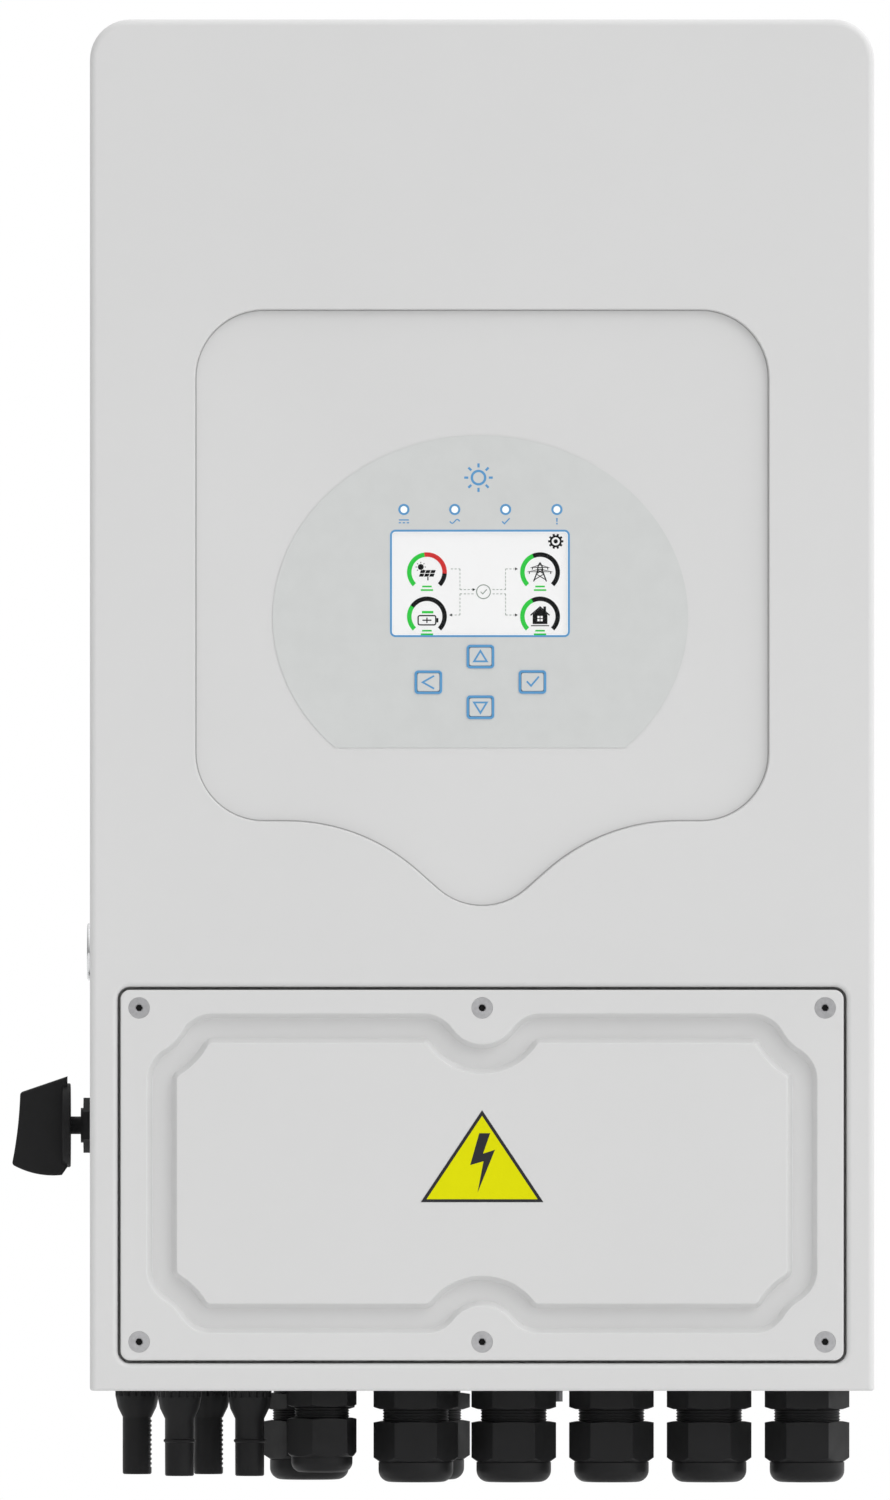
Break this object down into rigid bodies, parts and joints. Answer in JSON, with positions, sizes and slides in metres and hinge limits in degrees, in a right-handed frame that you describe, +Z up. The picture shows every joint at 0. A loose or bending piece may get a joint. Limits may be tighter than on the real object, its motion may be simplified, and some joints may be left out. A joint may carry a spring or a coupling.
{
  "type": "string inverter",
  "caption": "Wall-hung hybrid string inverter: painted case with sunk display panel, screwed wiring cover, rotary DC switch, push button, cable glands and PV inlets below.",
  "frame": {"origin": "centre of the wall bracket's four holes, on the wall plane", "axes": "+Z up, -Y out of the display face, +X to the right of a person facing it"},
  "size_m": [0.3635, 0.24, 0.6161],
  "materials": {
    "painted_case": "satin powder coat, light grey",
    "painted_cover": "satin powder coat, light grey",
    "cast_aluminium": "bead-blasted",
    "zinc_steel": "zinc plated",
    "screw_steel": "stainless",
    "film": "printed film",
    "window": "clear",
    "screen": "lit screen",
    "board_green": "solder mask",
    "light_pipe": "clear moulded",
    "key_plastic": "moulded",
    "black_plastic": "fine grain",
    "grey_plastic": "moulded",
    "gasket_rubber": "soft",
    "button_steel": "polished ring",
    "capacitor_sleeve": "shrink sleeve",
    "potting": "potted",
    "ferrite": "sintered",
    "winding_tape": "wound tape",
    "relay_case": "moulded",
    "brass": "turned",
    "copper_bar": "tinned copper edge",
    "terminal_green": "moulded"
  },
  "bodies": {
    "inverter": {"case_shell": "painted_case", "case_gasket": "gasket_rubber", "case_screws": "screw_steel", "heat_sink": "cast_aluminium", "hanging_plate": "zinc_steel", "hanging_plate_screws": "screw_steel", "wall_bracket": "zinc_steel", "bracket_lock_screws": "screw_steel", "front_overlay": "film", "display_window": "window", "display_module": "screen", "control_board": "board_green", "led_light_pipes": "light_pipe", "key_switches": "black_plastic", "cover_gasket": "gasket_rubber", "button_bezel": "button_steel", "button_nut": "brass", "button_switch": "black_plastic", "dc_switch_body": "black_plastic", "dc_switch_nut": "black_plastic", "m20_gland_bodies": "black_plastic", "m20_gland_nuts": "black_plastic", "m25_gland_bodies": "black_plastic", "m25_gland_nuts": "black_plastic", "m32_gland_bodies": "black_plastic", "m32_gland_nuts": "black_plastic", "gland_seals": "gasket_rubber", "entry_locknuts": "black_plastic", "pv_inlets_front": "black_plastic", "pv_inlets_rear": "black_plastic", "data_port": "grey_plastic", "power_board": "board_green", "wiring_board": "board_green", "board_standoffs": "brass", "power_modules": "grey_plastic", "dc_link_capacitors": "capacitor_sleeve", "boost_inductors": "potting", "transformer_core": "ferrite", "transformer_winding": "winding_tape", "filter_choke": "potting", "relays": "relay_case", "control_ribbon": "grey_plastic", "divider_plate": "zinc_steel", "battery_terminal_block": "black_plastic", "battery_studs": "brass", "battery_busbars": "copper_bar", "ac_terminal_blocks": "grey_plastic", "ac_terminal_screws": "screw_steel", "signal_terminals": "terminal_green", "modular_jacks": "black_plastic", "earth_bar": "brass"},
    "dc_switch": {"dc_switch_knob": "black_plastic", "dc_switch_shaft": "black_plastic"},
    "power_button": {"button_cap": "button_steel"},
    "up_key": {"key_up": "key_plastic"},
    "back_key": {"key_back": "key_plastic"},
    "enter_key": {"key_enter": "key_plastic"},
    "down_key": {"key_down": "key_plastic"},
    "wiring_cover": {"terminal_cover": "painted_cover", "cover_screws": "screw_steel"}
  },
  "joints": [
    {"name": "dc_switch_turn", "type": "hinge", "parent": "inverter", "child": "dc_switch", "pos_m": [-0.165, -0.165, -0.3291], "axis": [1, 0, 0], "range_deg": [0, 90]},
    {"name": "power_button_press", "type": "slide", "parent": "inverter", "child": "power_button", "axis": [1, 0, 0], "range_m": [0, 0.0015], "stiffness_N_per_m": 1200, "springref_m": -0.001},
    {"name": "up_key_press", "type": "slide", "parent": "inverter", "child": "up_key", "axis": [0, 1, 0], "range_m": [0, 0.0005], "stiffness_N_per_m": 2500, "springref_m": -0.0004},
    {"name": "back_key_press", "type": "slide", "parent": "inverter", "child": "back_key", "axis": [0, 1, 0], "range_m": [0, 0.0005], "stiffness_N_per_m": 2500, "springref_m": -0.0004},
    {"name": "enter_key_press", "type": "slide", "parent": "inverter", "child": "enter_key", "axis": [0, 1, 0], "range_m": [0, 0.0005], "stiffness_N_per_m": 2500, "springref_m": -0.0004},
    {"name": "down_key_press", "type": "slide", "parent": "inverter", "child": "down_key", "axis": [0, 1, 0], "range_m": [0, 0.0005], "stiffness_N_per_m": 2500, "springref_m": -0.0004},
    {"name": "wiring_cover_off", "type": "slide", "parent": "inverter", "child": "wiring_cover", "axis": [0, -1, 0], "range_m": [0, 0.12]}
  ]
}
